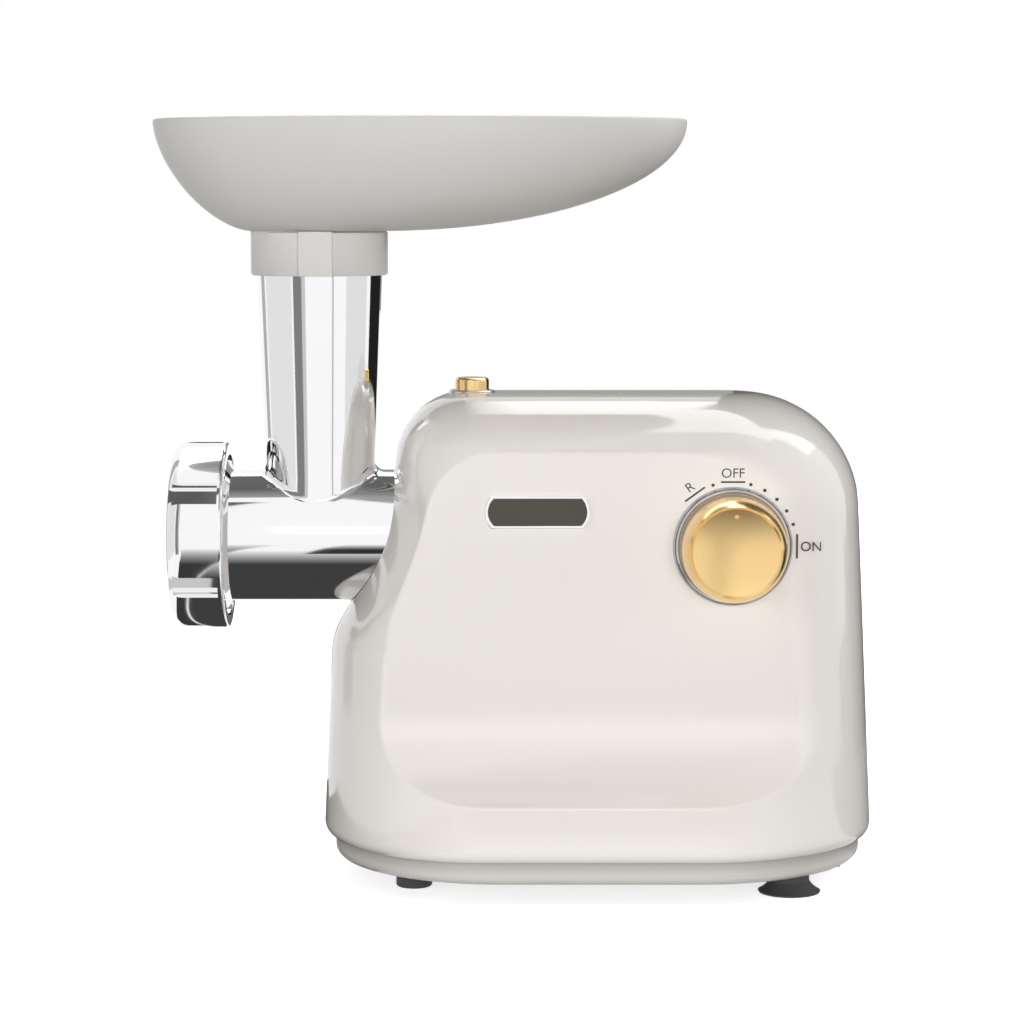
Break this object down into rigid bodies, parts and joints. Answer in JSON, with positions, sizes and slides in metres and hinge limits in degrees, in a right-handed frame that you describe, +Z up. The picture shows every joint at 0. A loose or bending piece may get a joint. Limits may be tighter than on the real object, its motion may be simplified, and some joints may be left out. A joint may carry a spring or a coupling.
{
  "type": "electric meat grinder",
  "caption": "Countertop electric meat grinder: moulded motor housing with scooped sides, polished mincing head with ring nut, lift-off oval tray and a speed knob.",
  "frame": {"origin": "middle of the housing's footprint on the worktop", "axes": "+Z up, -X along the mincing barrel towards the ring nut, -Y towards the side with the speed knob"},
  "size_m": [0.3213, 0.1667, 0.3387],
  "materials": {
    "body_white": "glossy warm white moulding",
    "tray_grey": "glossy pale grey moulding",
    "chrome": "polished plated casting",
    "gold": "pale gold satin metal",
    "bezel_grey": "silver grey plastic",
    "rubber": "black rubber",
    "badge_dark": "dark grey brown plate, left bare",
    "steel": "bright steel",
    "cast_aluminium": "cast metal",
    "nylon": "natural nylon",
    "case_black": "glass filled moulding",
    "motor_zinc": "zinc plated steel",
    "ferrite": "dark ferrite",
    "copper": "enamelled copper",
    "bronze": "sintered bronze",
    "board_green": "circuit board"
  },
  "bodies": {
    "base": {"main_housing": "body_white", "base_cover": "body_white", "base_screws": "steel", "front_feet": "rubber", "rear_suction_feet": "rubber", "cord_gland": "tray_grey", "grinder_head": "chrome", "rear_bush": "nylon", "output_bearing": "steel", "gear_bushes": "bronze", "gearbox_case": "case_black", "gearbox_cover": "case_black", "gearbox_screws": "steel", "motor_can": "motor_zinc", "motor_magnets": "ferrite", "motor_end_cap": "case_black", "brush_holders": "bronze", "motor_bushes": "bronze", "motor_cradles": "case_black", "control_board": "board_green", "board_components": "case_black", "rotary_switch": "case_black", "switch_nut": "steel", "knob_bezel": "bezel_grey", "button_collar": "bezel_grey", "lock_spring": "steel", "badge_frame": "chrome", "badge_plate": "badge_dark"},
    "output": {"feed_auger": "cast_aluminium", "cross_blade": "steel", "output_shaft": "steel", "output_gear": "steel"},
    "idler": {"idler_gear": "nylon", "idler_pinion": "steel", "idler_shaft": "steel"},
    "armature": {"motor_shaft": "steel", "armature_core": "steel", "armature_windings": "copper", "commutator": "copper", "motor_pinion": "steel", "cooling_fan": "nylon"},
    "knob": {"speed_knob": "gold", "switch_shaft": "steel"},
    "lock": {"lock_button": "gold", "lock_slide": "steel"},
    "plate": {"grinding_plate": "steel"},
    "nut": {"ring_nut": "chrome"},
    "tray": {"hopper_tray": "tray_grey"}
  },
  "joints": [
    {"name": "auger_spin", "type": "hinge", "parent": "base", "child": "output", "pos_m": [0, 0, 0.153], "axis": [1, 0, 0], "continuous": true},
    {"name": "idler_spin", "type": "hinge", "parent": "base", "child": "idler", "pos_m": [0, 0, 0.111], "axis": [1, 0, 0], "continuous": true},
    {"name": "armature_spin", "type": "hinge", "parent": "base", "child": "armature", "pos_m": [0, 0, 0.076], "axis": [1, 0, 0], "continuous": true},
    {"name": "knob_turn", "type": "hinge", "parent": "base", "child": "knob", "pos_m": [0.0565, 0, 0.1544], "axis": [0, 1, 0], "range_deg": [-38, 90]},
    {"name": "lock_press", "type": "slide", "parent": "base", "child": "lock", "axis": [0, 0, -1], "range_m": [0, 0.004], "stiffness_N_per_m": 900, "springref_m": -0.002, "deforming": ["lock_spring"]},
    {"name": "plate_slide", "type": "slide", "parent": "base", "child": "plate", "axis": [-1, 0, 0], "range_m": [0, 0.015]},
    {"name": "nut_turn", "type": "hinge", "parent": "plate", "child": "nut", "pos_m": [0, 0, 0.153], "axis": [-1, 0, 0], "range_deg": [0, 1800]},
    {"name": "tray_lift", "type": "slide", "parent": "base", "child": "tray", "axis": [0, 0, 1], "range_m": [0, 0.06]}
  ],
  "couplings": [
    {"joint": "idler_spin", "follows": "auger_spin", "ratio": -3},
    {"joint": "armature_spin", "follows": "auger_spin", "ratio": 9},
    {"joint": "plate_slide", "follows": "nut_turn", "m_per_rad": 0.00047746}
  ]
}
